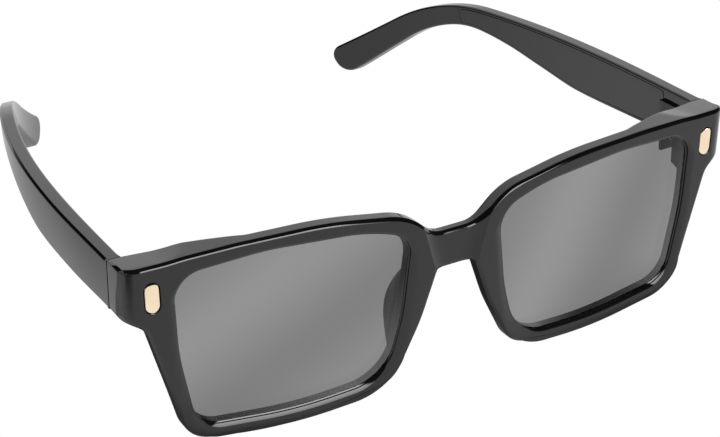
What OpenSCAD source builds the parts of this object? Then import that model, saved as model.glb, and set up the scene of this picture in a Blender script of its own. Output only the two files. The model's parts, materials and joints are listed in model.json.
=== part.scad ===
// Smart glasses with a thick acetate front and audio electronics in both temples.
// Wearing frame: x = 0 is the middle, the front faces -Y, the temples run along +Y,
// and z = 0 is the top of the temples. place() sets the finished part on a table.
// Right and left are the wearer's own: the right temple is at -X.

/* [Front] */
// Depth of a rim, front to back
rim_depth = 3.8; // [3.6:0.1:4.4]
// How far the bridge lies behind the rims' front face
bridge_recess = 1.0; // [0.6:0.1:1.2]
// Slope of each half of the front, as seen from above
wrap_slope = 0.076; // [0.05:0.001:0.09]
// Tilt of the front, bottom edge towards the cheeks
front_tilt = 5; // [3:0.5:7]
// Depth of the end pieces, from the bridge's front to the hinge seam
seam_y = 12.5; // [12:0.1:13]
// Rivet width
rivet_w = 3.2; // [2.8:0.1:3.6]
// Rivet height
rivet_h = 6.8; // [6:0.1:8]

/* [Lenses] */
// Lens thickness
lens_t = 2.0; // [1.6:0.1:2.2]
// Depth of the groove that holds the lens
groove = 0.8; // [0.5:0.1:1.0]

/* [Temples] */
// Thickness of a temple
temple_t = 3.5; // [3.4:0.1:4.2]
// Length along the top edge, hinge to tip
temple_len = 140; // [136:1:145]
// How far the tip curves in towards the head
curl = 28.0; // [24:0.1:32]
// Outward bow of the temple's middle
bow = 0.6; // [0:0.1:1]
// Length of the straight stretch before the ear bend
bend_start = 83; // [80:1:88]
// Downward bend of the tip
bend_angle = 33; // [28:1:36]
// Radius of the ear bend
bend_r = 55.5; // [50:0.5:60]
// Thickness of the outer wall over the electronics
wall = 0.8; // [0.7:0.05:0.9]
// Thickness of the inner cover
cover_t = 0.6; // [0.5:0.05:0.7]

/* [Hinges] */
// Radius of a hinge knuckle
knuckle_r = 1.35; // [1.25:0.05:1.4]
// Radius of the pivot screw's shank
pin_r = 0.6; // [0.5:0.05:0.7]
// Radial clearance of the pivot screw in the temple knuckle
pin_fit = 0.05; // [0.02:0.01:0.08]

/* [Controls] */
// Length of the action button
button_len = 7; // [6:0.5:8]
// Length of the volume rocker
rocker_len = 12; // [10:0.5:13]
// Width of both controls
control_w = 1.5; // [1.3:0.1:1.6]
// How far the controls stand out of the temple's lower edge
control_proud = 0.35; // [0.2:0.05:0.5]

/* [Hidden] */
$fn = 48;
eps = 0.01;

// Placing on the table: the tilt that brings the temple tips down, then the shift of the origin
stand_tilt = 7.75;
footprint_shift = [0, -69.65, 46.75];

// Front, seen from the front: [x, z, corner radius], one half, from the bridge outwards
bridge_top = -9.0;
bridge_bottom = -17.6;
end_top = 0.8;
end_bottom = -10.9;
end_corner_r = 4;
block_bottom = -13.8;
HALF = [
    [5.2, bridge_top, 6], [12.2, -2.4, 14], [30, 0.7, 90], [50, 1.2, 90], [73.9, end_top, 1.0],
    [74.6, end_bottom, 2], [69.9, -13.6, 5], [62.6, -42.9, 8], [36, -47.6, 80],
    [15.2, -42.7, 8], [8.7, -29, 50], [4.9, bridge_bottom, 1.6]
];
// Opening of one rim, a convex loop
OPENING = [
    [11, -7.6, 6], [22, -3.8, 40], [44, -2.1, 60], [63.5, -3.1, 6], [63.2, -22, 60],
    [60.3, -40.3, 7], [38, -42.9, 90], [17, -41.5, 11], [13.1, -27, 60]
];
arc_step = 6;
wrap_round = 27.2;
// One half of the bridge's recess, seen from above: [x, share of bridge_recess], under the rim's edge
RECESS = [[6.4, 0.3], [5.4, 0.62], [4.4, 0.86], [3.2, 1]];
bridge_edge = 7.3;
ramp_start = 47;
block_start = 58.5;
block_y = 10.5;
knuckle_side = 70.9;
// The end piece's top slopes down towards the seam: [y, z] of the line's two ends
top_slope = [[4, 0.95], [seam_y, 0.1]];
face_x = 74.3;
front_step = 3;
FRONT = [for (x = [-81:front_step:81]) [x, front_curve(x)]];
lens_depth = 1.2;
// Balls that a nose pad is drawn round: [x, distance behind the rim, z, radius]
PAD_BALLS = [[8.9, 1.0, -15.5, 1.5], [11.6, 4.0, -26, 2.3], [14.2, 1.6, -37, 1.8]];
rivet_x = 68.3;
rivet_z = -6.3;
rivet_depth = 1.2;
rivet_proud = 0.25;
rivet_facet = 10;

// Temple: heights along it as [distance from the hinge, height], the last at the tip
HEIGHTS = [
    [0, 10.9], [25, 12.1], [46, 12.3], [60, 10.2], [75, 7.3], [88, 5.7],
    [100, 5.7], [120, 6.7], [temple_len, 8.2]
];
curl_power = 3.1;
curl_reach = 136;
plan_step = 4;
side_step = 5;
INWARD = [
    for (y = [0:plan_step:160])
        [y, curl * pow(y / curl_reach, curl_power) - bow * sin(180 * min(1, y / curl_reach))]
];
seam_gap = 0.15;
tip_r = 3.6;
bend_len = bend_r * bend_angle * PI / 180;
cover_s = [10.5, 91];
cover_inset = 0.9;
bay_s = [12, 88];
bay_inset = 1.5;
bay_floor = temple_t - cover_t;
core_s = [95, 136];

// Hinge, with its axis parallel to the wearing frame's +Z
pivot = [68.9, seam_y + 0.8];
hinge_top = -3;
knuckle_h = 2;
hinge_middle = hinge_top - 1.5 * knuckle_h;
leaf_t = 0.8;
leaf_len = 9;
leaf_screw_r = 0.5;
leaf_screw_len = 3;
leaf_head_r = 0.8;
leaf_head_h = 0.35;
front_screws = [62.4, 66];
temple_screws = [3.4, 6.8];
pin_head_h = 0.6;
running_gap = 0.05;
front_leaf_x = [60.6, 68.4];

// Places along the temple
board_s = [12.5, 29];
battery_s = [30, 55.5];
speaker_s = [64, 74.5];
mesh_s = [66, 72];
mesh_side = 0.55;
mic_s = 14;
mic_gap = 0.15;
contact_s = [50, 54];
contact_r = 0.65;
contact_rise = 0.3;
magnet_s = [57, 61];
button_s = 20.5;
rocker_s = 36;
led_s = 24;
led_z = -6;
led_r = 0.5;
bay_top = -bay_inset - 0.1;
pack_bottom = -8.6;
control_flange = 0.4;
flange_gap = 0.25;
flange_top = bay_inset + flange_gap + control_flange;
dome_gap = 0.32;
control_gap = 0.06;
trunnion_r = 0.35;
trunnion_fit = 0.05;
trunnion_up = bay_inset + 0.1;

// ---- curves ----
function front_curve(x) = wrap_slope * (sqrt(x * x + wrap_round * wrap_round) - wrap_round);
function front_y(x) = lookup(x, FRONT);
function inward(y) = lookup(y, INWARD);

function unit(v) = v / norm(v);
function turn(a) = a > 180 ? a - 360 : a < -180 ? a + 360 : a;
function flat(p) = [p[0], p[1]];
function arc_points(a, b, c, r) =
    let (u = unit(a - b), v = unit(c - b), half = acos(u * v) / 2)
    let (middle = b + unit(u + v) * r / sin(half))
    let (from = b + u * r / tan(half) - middle, to = b + v * r / tan(half) - middle)
    let (start = atan2(from[1], from[0]), sweep = turn(atan2(to[1], to[0]) - start))
    let (steps = max(2, ceil(abs(sweep) / arc_step)))
    [for (i = [0:steps]) middle + r * [cos(start + sweep * i / steps), sin(start + sweep * i / steps)]];
// A loop of [x, y, radius] points, with each radius drawn as an arc
function rounded(loop) = [
    for (i = [0:len(loop) - 1])
        let (n = len(loop), a = flat(loop[(i + n - 1) % n]), b = flat(loop[i]), c = flat(loop[(i + 1) % n]))
        each loop[i][2] > 0 ? arc_points(a, b, c, loop[i][2]) : [b]
];
// A convex loop moved outwards by d
function grown(loop, d) = [
    for (i = [0:len(loop) - 1])
        let (n = len(loop), a = flat(loop[(i + n - 1) % n]), b = flat(loop[i]), c = flat(loop[(i + 1) % n]))
        let (u = unit(a - b), v = unit(c - b), out = -unit(u + v) * d / sin(acos(u * v) / 2))
        [b[0] + out[0], b[1] + out[1], loop[i][2] + d]
];

// Temple's top line, from the hinge: straight, then the ear bend, then straight to the tip
function bend_at(s) = min(bend_angle, max(0, (s - bend_start) / bend_len * bend_angle));
function top_point(s) =
    s < bend_start ? [s, 0]
    : let (a = bend_at(s), past = max(0, s - bend_start - bend_len))
      [bend_start + bend_r * sin(a) + past * cos(a), -bend_r * (1 - cos(a)) - past * sin(a)];
function side_point(s, drop) = top_point(s) - drop * [sin(bend_at(s)), cos(bend_at(s))];
function spline(p0, p1, p2, p3, t) =
    0.5 * (2 * p1 + (p2 - p0) * t + (2 * p0 - 5 * p1 + 4 * p2 - p3) * t * t
    + (3 * p1 - p0 - 3 * p2 + p3) * t * t * t);
function height_in(s, i) =
    let (last = len(HEIGHTS) - 1, t = (s - HEIGHTS[i][0]) / (HEIGHTS[i + 1][0] - HEIGHTS[i][0]))
    spline(HEIGHTS[max(0, i - 1)][1], HEIGHTS[i][1], HEIGHTS[i + 1][1], HEIGHTS[min(last, i + 2)][1], t);
function height_at(s, i = 0) =
    s <= HEIGHTS[i + 1][0] || i >= len(HEIGHTS) - 2 ? height_in(s, i) : height_at(s, i + 1);
// Temple seen from the side, from s0 to s1, with its edge moved in by inset
function side_loop(s0, s1, inset, r0, r1) =
    let (n = max(2, ceil((s1 - s0) / side_step)), step = (s1 - s0) / n)
    [
        [side_point(s0, inset)[0], side_point(s0, inset)[1], r0],
        for (i = [1:n - 1]) [side_point(s0 + i * step, inset)[0], side_point(s0 + i * step, inset)[1], 0],
        [side_point(s1, inset)[0], side_point(s1, inset)[1], r1],
        [side_point(s1, height_at(s1) - inset)[0], side_point(s1, height_at(s1) - inset)[1], r1],
        for (i = [n - 1:-1:1])
            let (s = s0 + i * step, p = side_point(s, height_at(s) - inset)) [p[0], p[1], 0],
        [side_point(s0, height_at(s0) - inset)[0], side_point(s0, height_at(s0) - inset)[1], r0]
    ];

// ---- placing ----
module place() {
    translate(footprint_shift)
        rotate([-stand_tilt, 0, 0])
            children();
}
module tilted() {
    rotate([front_tilt, 0, 0])
        children();
}
// side = 1 is the wearer's left, side = -1 the right
module on_side(side) {
    if (side > 0)
        children();
    else
        mirror([1, 0, 0])
            children();
}
// The front's own space, and the temple's own space from the hinge seam
module tilted_space(side) {
    place()
        on_side(side)
            tilted()
                children();
}
module temple_space(side) {
    place()
        on_side(side)
            translate([0, seam_y + seam_gap, 0])
                children();
}
module wearing_space(side) {
    place()
        on_side(side)
            children();
}
// A box between two corners
module block(low, high) {
    translate(low)
        cube(high - low);
}
// A 2D shape drawn in x and z, pushed along y
module along_y(y0, y1) {
    translate([0, y1, 0])
        rotate([90, 0, 0])
            linear_extrude(y1 - y0)
                children();
}
// A 2D shape drawn in y and z, pushed along x
module along_x(x0, x1) {
    translate([x0, 0, 0])
        rotate([90, 0, 90])
            linear_extrude(x1 - x0)
                children();
}
// A pill with its long side along y, from z = 0 up
module pill(length, width, height) {
    translate([-width / 2, -(length - width) / 2, 0])
        cube([width, length - width, height]);
    for (end = [-1, 1])
        translate([0, end * (length - width) / 2, 0])
            cylinder(r = width / 2, h = height);
}

// ---- front ----
function front_loop() =
    let (other = [for (i = [len(HALF) - 1:-1:0]) [-HALF[i][0], HALF[i][1], HALF[i][2]]])
    rounded(concat(HALF, other));
// Sheet that follows the front's curve, between two depths behind the front face
module front_sheet(d0, d1, reach) {
    xs = [for (x = [-reach:front_step:reach]) x];
    translate([0, 0, -60])
        linear_extrude(80)
            polygon(concat(
                [for (x = xs) [x, front_y(x) + d0]],
                [for (i = [len(xs) - 1:-1:0]) [xs[i], front_y(xs[i]) + d1]]
            ));
}
// Deep block of one end piece, in plan, with the ramp that leads up to it
module end_block() {
    translate([0, 0, block_bottom])
        linear_extrude(30)
            polygon([
                [ramp_start, front_y(ramp_start) + 1], [ramp_start, front_y(ramp_start) + rim_depth],
                [block_start - 1.5, block_y - 0.4], [block_start + 1, block_y + 1.5],
                [knuckle_side, block_y + 3], [knuckle_side, seam_y + 3],
                [face_x, seam_y + 3], [78, front_y(78) + 1]
            ]);
}
// Material taken off the bridge's front face, so that the rims stand proud of it
module bridge_relief() {
    translate([0, 0, -30])
        linear_extrude(30)
            polygon(concat(
                [[-bridge_edge, -1], [-bridge_edge, front_y(bridge_edge)]],
                [for (p = RECESS) [-p[0], bridge_recess * p[1]]],
                [for (i = [len(RECESS) - 1:-1:0]) [RECESS[i][0], bridge_recess * RECESS[i][1]]],
                [[bridge_edge, front_y(bridge_edge)], [bridge_edge, -1]]
            ));
}
// Wedge above one end piece, which brings its top down to the temple's at the seam
module end_wedge() {
    along_x(52, 90)
        polygon([
            top_slope[0], top_slope[1], top_slope[1] + [3, -0.3],
            top_slope[1] + [3, 9], top_slope[0] + [0, 9]
        ]);
}
// What is taken off the outer front corner of one end piece to round it, as seen from above
module corner_cut() {
    middle = [face_x - end_corner_r, front_y(face_x) + end_corner_r];
    translate([0, 0, -30])
        linear_extrude(60)
            polygon(concat(
                [for (a = [0:arc_step:90]) middle + end_corner_r * [cos(a), -sin(a)]],
                [[middle[0], -5], [90, -5], [90, middle[1]]]
            ));
}
// Room for the hinge behind one end piece, with faces square to the hinge axis
module hinge_room() {
    block([block_start - 1, block_y, -30], [knuckle_side, 40, 20]);
    block([knuckle_side - eps, seam_y, -30], [90, 40, 20]);
}
module lens_shape(d0, d1, spare) {
    intersection() {
        tilted()
            front_sheet(d0, d1, 81);
        along_y(-10, 30)
            polygon(rounded(grown(OPENING, spare)));
    }
}
module rivet_pill(y0, y1) {
    translate([rivet_x, y1, rivet_z])
        rotate([90, 0, 0])
            pill(rivet_h, rivet_w, y1 - y0);
}
module screw(r, head_r, head_h, length) {
    cylinder(r = head_r, h = head_h);
    translate([0, 0, -length])
        cylinder(r = r, h = length + eps);
}
// Places of the front leaf's two screws, each with its head towards the wearer
module at_front_screws() {
    for (x = front_screws)
        translate([x, block_y + leaf_t, hinge_middle])
            rotate([-90, 0, 0])
                children();
}
module front_screw_holes() {
    at_front_screws()
        translate([0, 0, -leaf_screw_len])
            cylinder(r = leaf_screw_r, h = 2 * leaf_screw_len);
}
module front_frame() {
    color("#161616")
        place()
            difference() {
                intersection() {
                    tilted()
                        union() {
                            front_sheet(0, rim_depth, 81);
                            for (side = [-1, 1])
                                on_side(side)
                                    end_block();
                        }
                    along_y(-10, 30)
                        polygon(front_loop());
                }
                tilted()
                    bridge_relief();
                for (side = [-1, 1])
                    on_side(side) {
                        along_y(-10, 30)
                            polygon(rounded(OPENING));
                        lens_shape(lens_depth, lens_depth + lens_t, groove);
                        tilted() {
                            rivet_pill(-5, front_y(rivet_x) + rivet_depth);
                            corner_cut();
                        }
                        hinge_room();
                        end_wedge();
                        front_screw_holes();
                    }
            }
}
module lens(side) {
    color("#6f6f70", 0.6)
        wearing_space(side)
            lens_shape(lens_depth, lens_depth + lens_t, groove);
}
module rivet(side) {
    face = front_y(rivet_x);
    color("#e6cfa8")
        tilted_space(side)
            difference() {
                rivet_pill(face - rivet_proud, face + rivet_depth);
                // two shallow facets leave a ridge up the middle
                for (half = [-1, 1])
                    translate([rivet_x, face - rivet_proud, rivet_z])
                        rotate([0, 0, half * rivet_facet])
                            translate([0, -1, 0])
                                cube([2 * rivet_w, 2, 2 * rivet_h], center = true);
            }
}
// Rubber pad on the back of the rim beside the nose
module nose_pad(side) {
    color("#242424")
        tilted_space(side)
            difference() {
                hull()
                    for (ball = PAD_BALLS)
                        translate([ball[0], rim_depth + ball[1], ball[2]])
                            sphere(r = ball[3], $fn = 28);
                front_sheet(-4, rim_depth, 30);
            }
}

// ---- hinge ----
// Knuckles 0, 1 and 2 lie one under the other; this is the lower end of one
function knuckle_low(index) = hinge_top - (index + 1) * knuckle_h + running_gap / 2;
module knuckle(index, bore) {
    translate([pivot[0], pivot[1], knuckle_low(index)])
        difference() {
            cylinder(r = knuckle_r, h = knuckle_h - running_gap);
            translate([0, 0, -1])
                cylinder(r = bore, h = knuckle_h + 2);
        }
}
// A shade less than the space of all three knuckles, kept free in the webs that join them
module knuckle_room() {
    translate([pivot[0], pivot[1], hinge_top - 4 * knuckle_h])
        cylinder(r = knuckle_r - eps, h = 5 * knuckle_h);
}
module hinge_front_leaf(side) {
    color("#8d8f92")
        wearing_space(side)
            difference() {
                union() {
                    block(
                        [front_leaf_x[0], block_y, hinge_top - 3 * knuckle_h],
                        [front_leaf_x[1], block_y + leaf_t, hinge_top]
                    );
                    for (index = [0, 2]) {
                        knuckle(index, pin_r);
                        difference() {
                            block(
                                [front_leaf_x[1] - 1.2, block_y + leaf_t - eps, knuckle_low(index)],
                                [pivot[0], pivot[1] - 0.2, knuckle_low(index) + knuckle_h - running_gap]
                            );
                            knuckle_room();
                        }
                    }
                }
                front_screw_holes();
            }
}
module hinge_front_screws(side) {
    color("#b9babd")
        wearing_space(side)
            at_front_screws()
                screw(leaf_screw_r, leaf_head_r, leaf_head_h, leaf_screw_len);
}
module pivot_screw(side) {
    color("#b9babd")
        wearing_space(side)
            translate([pivot[0], pivot[1], hinge_top]) {
                difference() {
                    screw(pin_r, knuckle_r - 0.2, pin_head_h, 3 * knuckle_h);
                    translate([-0.15, -3, pin_head_h - 0.25])
                        cube([0.3, 6, 1]);
                }
            }
}
module hinge_temple_leaf(side) {
    inner_x = face_x - temple_t;
    color("#8d8f92")
        wearing_space(side)
            difference() {
                union() {
                    knuckle(1, pin_r + pin_fit);
                    // the plate starts behind the front leaf's knuckles
                    block(
                        [inner_x - leaf_t, pivot[1] + knuckle_r + 0.3, hinge_top - 3 * knuckle_h],
                        [inner_x, pivot[1] + knuckle_r + leaf_len, hinge_top]
                    );
                    difference() {
                        block(
                            [pivot[0] - 0.1, pivot[1], knuckle_low(1)],
                            [inner_x, pivot[1] + knuckle_r + 1, knuckle_low(1) + knuckle_h - running_gap]
                        );
                        knuckle_room();
                    }
                }
                temple_screw_holes();
            }
}
// Places of the temple leaf's two screws, each with its head towards the wearer
module at_temple_screws() {
    for (y = temple_screws)
        translate([face_x - temple_t - leaf_t, pivot[1] + knuckle_r + y, hinge_middle])
            rotate([0, -90, 0])
                children();
}
module temple_screw_holes() {
    at_temple_screws()
        translate([0, 0, -leaf_screw_len])
            cylinder(r = leaf_screw_r, h = 2 * leaf_screw_len);
}
module hinge_temple_screws(side) {
    color("#b9babd")
        wearing_space(side)
            at_temple_screws()
                screw(leaf_screw_r, leaf_head_r, leaf_head_h, leaf_screw_len);
}

// ---- temple ----
// Band that follows the temple's curve in plan, t0 to t1 in from the outer face
module temple_band(y0, y1, t0, t1) {
    ys = concat([y0], [for (p = INWARD) if (p[0] > y0 + 0.1 && p[0] < y1 - 0.1) p[0]], [y1]);
    polygon(concat(
        [for (y = ys) [face_x - inward(y) - t0, y]],
        [for (i = [len(ys) - 1:-1:0]) [face_x - inward(ys[i]) - t1, ys[i]]]
    ));
}
// Piece of that band between two heights
module slab(y, z, t) {
    translate([0, 0, z[0]])
        linear_extrude(z[1] - z[0])
            temple_band(y[0], y[1], t[0], t[1]);
}
// Piece of the temple's own outline, s0 to s1 along it
module temple_piece(s, inset, t, r0, r1) {
    intersection() {
        translate([0, 0, -50])
            linear_extrude(60)
                temple_band(0, 152, t[0], t[1]);
        along_x(10, 90)
            polygon(rounded(side_loop(s[0], s[1], inset, r0, r1)));
    }
}
// Through slots and holes in the lower edge: shapes cut from the bay out
module lower_holes(side) {
    for (s = contact_s)
        translate([band_middle(s), s, -height_at(s) - 1])
            cylinder(r = contact_r, h = bay_inset + 1 + contact_rise);
    translate([band_middle(mic_s), mic_s, -height_at(mic_s) - 1])
        cylinder(r = 0.4, h = 3);
    mesh_slot();
    if (side < 0) {
        control_slot(button_s, button_len);
        control_slot(rocker_s, rocker_len);
        trunnions(trunnion_r + trunnion_fit, (bay_floor - wall) / 2);
    }
}
function band_middle(s) = face_x - inward(s) - (wall + bay_floor) / 2;
module mesh_slot() {
    slab(mesh_s, [-14, -6], [wall + mesh_side, bay_floor - mesh_side]);
}
module control_slot(s, length) {
    translate([band_middle(s), s, -height_at(s) - 1])
        pill(length + 2 * control_gap, control_w + 2 * control_gap, 1 + bay_inset + flange_gap);
}
// The rocker's two trunnions, and the half-round notches they lie in
module trunnions(r, half) {
    translate([band_middle(rocker_s), rocker_s, -height_at(rocker_s) + trunnion_up])
        rotate([0, 90, 0])
            cylinder(r = r, h = 2 * half, center = true);
}
module temple_shell(side) {
    color("#161616")
        temple_space(side)
            difference() {
                temple_piece([0, temple_len], 0, [0, temple_t], 0.5, tip_r);
                temple_piece(bay_s, bay_inset, [wall, bay_floor + eps], 0, 0);
                temple_piece(cover_s, cover_inset, [bay_floor, temple_t + 1], 0.8, 0.8);
                core_shape();
                lower_holes(side);
                translate([0, -seam_y - seam_gap, 0])
                    temple_screw_holes();
            }
}
module temple_cover(side) {
    color("#1b1b1b")
        temple_space(side)
            difference() {
                temple_piece(cover_s, cover_inset, [bay_floor, temple_t], 0.8, 0.8);
                if (side < 0)
                    translate([-1, 0, 0])
                        led_bar(3);
            }
}
// A round bar at the status light, from the cover's inner face outwards
module led_bar(length) {
    translate([face_x - inward(led_s) - temple_t, led_s, led_z])
        rotate([0, 90, 0])
            cylinder(r = led_r, h = length);
}
module core_shape() {
    intersection() {
        translate([0, 0, -50])
            linear_extrude(60)
                temple_band(0, 152, temple_t / 2 - 0.5, temple_t / 2 + 0.5);
        along_x(10, 90)
            polygon([
                for (s = [core_s[0]:4:core_s[1]]) side_point(s, height_at(s) / 2 - 0.8),
                for (s = [core_s[1]:-4:core_s[0]]) side_point(s, height_at(s) / 2 + 0.8)
            ]);
    }
}
module core_strip(side) {
    color("#9a9c9f")
        temple_space(side)
            core_shape();
}
module battery(side) {
    color("#c9ccd0")
        temple_space(side) {
            slab(battery_s, [pack_bottom, bay_top], [wall, bay_floor - 0.1]);
            // sealed flange and tab block at the hinge end
            slab(
                [battery_s[0] - 0.7, battery_s[0] + eps],
                [pack_bottom + 1, bay_top - 1],
                [wall + 0.8, wall + 1.3]
            );
        }
}
module circuit_board(side) {
    color("#1f5a3a")
        temple_space(side) {
            slab(board_s, [pack_bottom, bay_top], [wall, wall + 0.5]);
            // battery connector
            slab(
                [board_s[1] - 2.6, board_s[1] - 0.6],
                [-6.6, -3.2],
                [wall + 0.5 - eps, wall + 1.6]
            );
        }
}
module shield_can(side) {
    color("#a9abae")
        temple_space(side)
            slab(
                [board_s[0] + 1.4, board_s[1] - 3.6],
                [pack_bottom + 0.6, bay_top - 0.6],
                [wall + 0.5, wall + 1.5]
            );
}
module antenna_flex(side) {
    color("#b8763a")
        temple_space(side)
            slab(
                [board_s[0] + 1, board_s[1] - 1],
                [bay_top - 0.5, bay_top - 0.3],
                [wall + 0.5, bay_floor - 0.2]
            );
}
module speaker(side) {
    color("#3a3b3d")
        temple_space(side)
            difference() {
                slab(speaker_s, [-5.9, bay_top], [wall, bay_floor - 0.1]);
                slab([mesh_s[0] + 0.6, mesh_s[1] - 0.6], [-7, -5.4], [wall + 0.6, bay_floor - 0.7]);
            }
}
module speaker_mesh(side) {
    color("#505255")
        temple_space(side)
            intersection() {
                mesh_slot();
                translate([0, 0, 0.5])
                    temple_piece([60, 80], 0, [0, temple_t], 0, 0);
                translate([0, 0, 0.9])
                    difference() {
                        block([40, 62, -14], [80, 78, -1]);
                        temple_piece([60, 80], 1.0, [-1, temple_t + 1], 0, 0);
                    }
            }
}
module microphone(side) {
    z0 = -height_at(mic_s) + bay_inset + mic_gap;
    color("#c4a256")
        temple_space(side)
            difference() {
                slab([mic_s - 1.3, mic_s + 1.7], [z0, z0 + 1.0], [wall + 0.1, bay_floor - 0.2]);
                translate([band_middle(mic_s), mic_s, z0 - 1])
                    cylinder(r = 0.25, h = 1.5);
            }
}
module charge_contacts(side) {
    color("#d9b36a")
        temple_space(side)
            for (s = contact_s)
                translate([band_middle(s), s, -height_at(s)]) {
                    cylinder(r = contact_r, h = bay_inset + contact_rise);
                    translate([0, 0, bay_inset + contact_rise - eps])
                        cylinder(r = contact_r + 0.2, h = 0.3);
                }
}
module dock_magnet(side) {
    z0 = -height_at(magnet_s[1]) + bay_inset + 0.15;
    color("#cfd1d4")
        temple_space(side)
            slab(magnet_s, [z0, z0 + 1.2], [wall + 0.1, bay_floor - 0.2]);
}

// ---- controls on the right temple's lower edge ----
module control(s, length) {
    translate([band_middle(s), s, -height_at(s) - control_proud]) {
        pill(length, control_w, control_proud + bay_inset + flange_gap);
        translate([0, 0, control_proud + bay_inset + flange_gap - eps])
            pill(length + 0.6, control_w, control_flange);
    }
}
module action_button() {
    color("#0e0e0e")
        temple_space(-1)
            control(button_s, button_len);
}
module volume_rocker() {
    color("#0e0e0e")
        temple_space(-1)
            union() {
                control(rocker_s, rocker_len);
                trunnions(trunnion_r, (bay_floor - wall) / 2 - control_gap);
            }
}
// Flex strip with three dome switches, one over the button and two over the rocker
module switch_flex() {
    flex_z = pack_bottom - 0.25;
    color("#a8702f")
        temple_space(-1) {
            slab([button_s - 2.5, rocker_s + 6.5], [flex_z, flex_z + 0.2], [wall + 0.1, bay_floor - 0.15]);
            for (p = [[button_s, button_s], [rocker_s - 4, rocker_s], [rocker_s + 4, rocker_s]])
                dome_switch(p[0], -height_at(p[1]) + flange_top + dome_gap, flex_z);
        }
}
module dome_switch(s, z0, z1) {
    translate([band_middle(s), s, z0])
        cylinder(r = 0.8, h = z1 - z0 + eps);
}
module status_led() {
    color("#e9ecef")
        temple_space(-1)
            translate([0.05, 0, 0])
                led_bar(0.7);
}

front_frame();
lens(-1);  // lens_right
lens(1);  // lens_left
nose_pad(-1);  // nose_pad_right
nose_pad(1);  // nose_pad_left
rivet(-1);  // rivet_right
rivet(1);  // rivet_left
hinge_front_leaf(-1);  // hinge_front_leaf_right
hinge_front_leaf(1);  // hinge_front_leaf_left
hinge_front_screws(-1);  // hinge_front_screws_right
hinge_front_screws(1);  // hinge_front_screws_left
pivot_screw(-1);  // pivot_screw_right
pivot_screw(1);  // pivot_screw_left
temple_shell(-1);  // temple_shell_right
temple_shell(1);  // temple_shell_left
temple_cover(-1);  // temple_cover_right
temple_cover(1);  // temple_cover_left
hinge_temple_leaf(-1);  // hinge_temple_leaf_right
hinge_temple_leaf(1);  // hinge_temple_leaf_left
hinge_temple_screws(-1);  // hinge_temple_screws_right
hinge_temple_screws(1);  // hinge_temple_screws_left
battery(-1);  // battery_right
battery(1);  // battery_left
circuit_board(-1);  // circuit_board_right
circuit_board(1);  // circuit_board_left
shield_can(-1);  // shield_can_right
shield_can(1);  // shield_can_left
antenna_flex(-1);  // antenna_flex_right
antenna_flex(1);  // antenna_flex_left
speaker(-1);  // speaker_right
speaker(1);  // speaker_left
speaker_mesh(-1);  // speaker_mesh_right
speaker_mesh(1);  // speaker_mesh_left
microphone(-1);  // microphone_right
microphone(1);  // microphone_left
charge_contacts(-1);  // charge_contacts_right
charge_contacts(1);  // charge_contacts_left
dock_magnet(-1);  // dock_magnet_right
dock_magnet(1);  // dock_magnet_left
core_strip(-1);  // core_strip_right
core_strip(1);  // core_strip_left
action_button();
volume_rocker();
switch_flex();
status_led();
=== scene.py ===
"""Smart glasses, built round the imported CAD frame.

Shapes are worked out in the wearing frame, in millimetres: x = 0 is the middle, the front faces -Y,
the temples run along +Y and z = 0 is the top of the temples. place() takes them to the frame.
"""
import json
import math

import bmesh
import bpy
import numpy as np
from mathutils import Matrix, Vector, kdtree
from mathutils.geometry import delaunay_2d_cdt


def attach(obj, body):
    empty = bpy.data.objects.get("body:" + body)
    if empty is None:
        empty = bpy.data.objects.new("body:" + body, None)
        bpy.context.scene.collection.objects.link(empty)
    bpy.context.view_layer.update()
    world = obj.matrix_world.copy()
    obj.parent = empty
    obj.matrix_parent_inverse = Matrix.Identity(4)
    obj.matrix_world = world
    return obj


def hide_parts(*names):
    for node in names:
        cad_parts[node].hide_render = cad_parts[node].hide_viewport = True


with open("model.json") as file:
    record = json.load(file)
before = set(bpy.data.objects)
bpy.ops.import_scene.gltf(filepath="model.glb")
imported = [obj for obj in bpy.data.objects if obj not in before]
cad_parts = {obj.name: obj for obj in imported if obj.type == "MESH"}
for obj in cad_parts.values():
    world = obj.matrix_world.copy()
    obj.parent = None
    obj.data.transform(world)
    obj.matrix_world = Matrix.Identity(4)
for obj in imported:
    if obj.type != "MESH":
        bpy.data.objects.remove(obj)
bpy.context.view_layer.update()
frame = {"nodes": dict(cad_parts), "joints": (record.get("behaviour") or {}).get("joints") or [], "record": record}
scene = bpy.context.scene

MM = 0.001

# ---------------------------------------------------------------- placing
fold = next(j for j in frame["joints"] if j["name"] == "left_temple_fold")
STAND_TILT = math.atan2(fold["axis"][1], fold["axis"][2])
HINGE = Vector((68.9, 13.3, -6.0))
TURN = Matrix.Rotation(-STAND_TILT, 3, "X")
SHIFT = Vector(fold["pos_m"]) - TURN @ HINGE * MM


def place(point):
    """From the wearing frame, in mm, to the row frame, in metres."""
    return TURN @ Vector(point) * MM + SHIFT


# ---------------------------------------------------------------- the object's own curves, as in the CAD
FRONT_TILT = math.radians(5)
WRAP_SLOPE, WRAP_ROUND = 0.076, 27.2
RIM_DEPTH = 3.8
FACE_X = 74.3
SEAM_Y = 12.5
SEAM_GAP = 0.15
CORNER_R = 4.0
BLOCK_Y = 10.5
KNUCKLE_SIDE = 70.9
# |x| where the back starts to ramp up to the end piece, and where the ramp gets steeper
RAMP_X, RAMP_KNEE = 47, 57
# z above which the back is a hood over the hinge
HOOD_Z = -2.6
LENS_DEPTH, LENS_T, LENS_BITE = 1.2, 2.0, 0.25
RIVET = Vector((68.3, -6.3))
RIVET_W, RIVET_H = 3.2, 6.8
BRIDGE_RECESS = 1.1
TEMPLE_T, WALL, BAY_FLOOR = 3.5, 0.8, 2.9
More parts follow.
